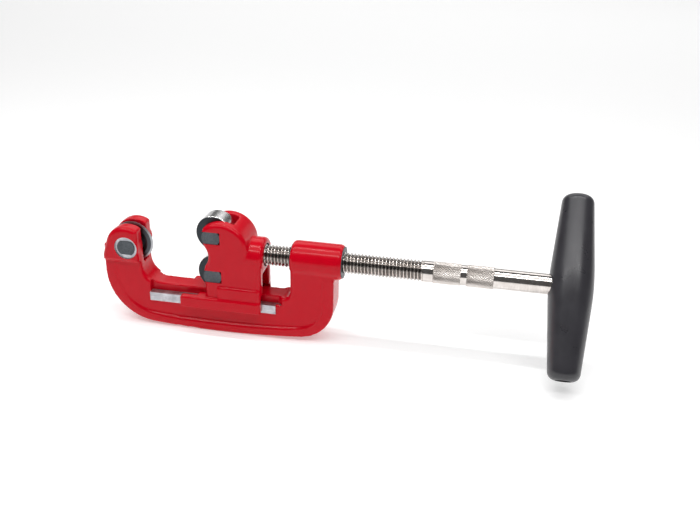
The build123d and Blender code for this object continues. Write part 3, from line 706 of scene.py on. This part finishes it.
def threadRadius(tree, value, turn, along):  # a right-hand 60 degree thread with flat crests and roots
    turnsAlong = nodeMath(tree, "DIVIDE", along, value["Pitch"])
    phase = nodeMath(tree, "FRACT", nodeMath(tree, "SUBTRACT", turnsAlong, turn))
    away = nodeMath(tree, "ABSOLUTE", nodeMath(tree, "SUBTRACT", phase, 0.5))
    flank = nodeMath(tree, "SUBTRACT", value["Root Edge"], value["Crest Edge"])
    height = nodeMath(tree, "DIVIDE", nodeMath(tree, "SUBTRACT", value["Root Edge"], away), flank, clamp=True)
    toEnd = nodeMath(tree, "SUBTRACT", value["Length"], along)
    fade = nodeMath(tree, "DIVIDE", toEnd, value["Run Out"], clamp=True)
    depth = nodeMath(tree, "MULTIPLY", value["Depth"], fade)
    cut = nodeMath(tree, "MULTIPLY", depth, nodeMath(tree, "SUBTRACT", 1.0, height))
    full = nodeMath(tree, "SUBTRACT", value["Crest Radius"], cut)
    chamfer = nodeMath(tree, "ADD", nodeMath(tree, "SUBTRACT", value["Crest Radius"], value["Depth"]), along)
    return nodeMath(tree, "MINIMUM", full, chamfer)


def knurlRadius(tree, value, turn, along):  # two crossing sets of grooves leave rows of small pyramids
    round_ = nodeMath(tree, "MULTIPLY", turn, value["Teeth"])
    slant = nodeMath(tree, "DIVIDE", along, value["Pitch Along"])
    ridges = []
    for operation in ("ADD", "SUBTRACT"):
        phase = nodeMath(tree, "FRACT", nodeMath(tree, operation, round_, slant))
        ridges.append(nodeMath(tree, "ABSOLUTE", nodeMath(tree, "MULTIPLY_ADD", phase, 2.0, -1.0)))
    groove = nodeMath(tree, "MAXIMUM", *ridges)
    toEnd = nodeMath(tree, "MINIMUM", along, nodeMath(tree, "SUBTRACT", value["Length"], along))
    edge = nodeMath(tree, "SUBTRACT", 1.0, nodeMath(tree, "DIVIDE", toEnd, value["Edge"], clamp=True))
    cut = nodeMath(tree, "MULTIPLY", value["Depth"], nodeMath(tree, "MAXIMUM", groove, edge))
    return nodeMath(tree, "SUBTRACT", value["Crest Radius"], cut)


def growBar(name, tree, values):  # runs a tree once and keeps the result as a plain mesh
    piece = newPiece(name, bpy.data.meshes.new(name))
    grow = piece.modifiers.new(tree.name, "NODES")
    grow.node_group = tree
    for socket in tree.interface.items_tree:
        if socket.in_out == "INPUT" and socket.name in values:
            grow[socket.identifier] = values[socket.name]
    return bakeModifiers(piece)


def latheBar(name, outline, steps, material):  # outline is (x, radius) in mm, from one end to the other
    mesh = bmesh.new()
    rings = []
    for x, radius in outline:
        rings.append([mesh.verts.new((x * mm, radius * mm * math.cos(a), radius * mm * math.sin(a)))
                      for a in (math.tau * i / steps for i in range(steps))])
    for first, second in zip(rings, rings[1:]):
        for i in range(steps):
            j = (i + 1) % steps
            mesh.faces.new((first[i], first[j], second[j], second[i]))
    mesh.faces.new(list(reversed(rings[0])))
    mesh.faces.new(rings[-1])
    bmesh.ops.recalc_face_normals(mesh, faces=mesh.faces)
    data = bpy.data.meshes.new(name)
    mesh.to_mesh(data)
    mesh.free()
    data.materials.append(material)
    smoothByAngle(data, 30)
    return newPiece(name, data)


screwSpindle = {
    "tip": 61.0, "journal": 7.0, "groove": (65.4, 69.6), "grooveRadius": 5.2,
    "threadStart": 74.0, "threadEnd": 216.0, "threadRadius": 9.0, "pitch": 3.0, "threadDepth": 1.5,
    "runOut": 2.2, "stepsPerPitch": 12, "threadRound": 56,
    "collarEnd": 224.6, "neck": (247.2, 252.2), "neckRadius": 8.6,
    # The knurl is drawn coarser and deeper than a pressed one, so that its diamonds show.
    "knurlRadius": 9.3, "teeth": 30, "knurlAlong": 2.2, "knurlDepth": 0.62, "knurlSamples": 6,
    "knurlEnd": 274.4, "shaftRadius": 8.55,
}


def buildSpindle():
    size = screwSpindle
    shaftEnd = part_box("spindle")[1].x / mm
    thread = shaftTree("rolled_thread", [
        ("Crest Radius", "Float", 0.009), ("Depth", "Float", 0.0015), ("Pitch", "Float", 0.003),
        ("Crest Edge", "Float", 0.09), ("Root Edge", "Float", 0.40), ("Run Out", "Float", 0.002)],
        threadRadius)
    knurl = shaftTree("diamond_knurl", [
        ("Crest Radius", "Float", 0.0093), ("Depth", "Float", 0.0004), ("Teeth", "Int", 44),
        ("Pitch Along", "Float", 0.0017), ("Edge", "Float", 0.0004)], knurlRadius)
    length = size["threadEnd"] - size["threadStart"]
    screw = growBar("spindle_thread", thread, {
        "Start": size["threadStart"] * mm, "Length": length * mm, "Round Steps": size["threadRound"],
        "Length Steps": round(length / size["pitch"] * size["stepsPerPitch"]), "Finish": threadSteel,
        "Crest Radius": size["threadRadius"] * mm, "Depth": size["threadDepth"] * mm,
        "Pitch": size["pitch"] * mm, "Run Out": size["runOut"] * mm})
    smoothByAngle(screw.data, 40)
    bands = []
    for name, start, end in (("spindle_knurl_inner", size["collarEnd"], size["neck"][0]),
                             ("spindle_knurl_outer", size["neck"][1], size["knurlEnd"])):
        steps = round((end - start) / size["knurlAlong"] * size["knurlSamples"])
        bands.append(growBar(name, knurl, {
            "Start": start * mm, "Length": (end - start) * mm,
            "Round Steps": size["teeth"] * size["knurlSamples"], "Length Steps": steps,
            "Finish": knurlSteel, "Crest Radius": size["knurlRadius"] * mm,
            "Depth": size["knurlDepth"] * mm, "Teeth": size["teeth"],
            "Pitch Along": size["knurlAlong"] * mm}))
    journal = latheBar("spindle_journal", [
        (size["tip"], size["journal"] - 1), (size["tip"] + 1, size["journal"]),
        (size["groove"][0], size["journal"]), (size["groove"][0], size["grooveRadius"]),
        (size["groove"][1], size["grooveRadius"]), (size["groove"][1], size["journal"]),
        (size["threadStart"], size["journal"])], 64, plated)
    collar = latheBar("spindle_collar", [
        (size["threadEnd"], size["threadRadius"] - 0.3), (size["threadEnd"] + 0.3, size["threadRadius"]),
        (size["collarEnd"] - 0.2, size["threadRadius"]), (size["collarEnd"], size["threadRadius"] - 0.2)],
        96, plated)
    neck = latheBar("spindle_neck", [
        (size["neck"][0], size["neckRadius"]), (size["neck"][1], size["neckRadius"])], 96, plated)
    shaft = latheBar("spindle_shaft", [
        (size["knurlEnd"], size["shaftRadius"]), (shaftEnd - 1, size["shaftRadius"]),
        (shaftEnd, size["shaftRadius"] - 1)], 96, plated)
    for piece in (screw, *bands, journal, collar, neck, shaft):
        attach(piece, "spindle_body")
    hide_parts("spindle")


buildSpindle()
print("stage: spindle")
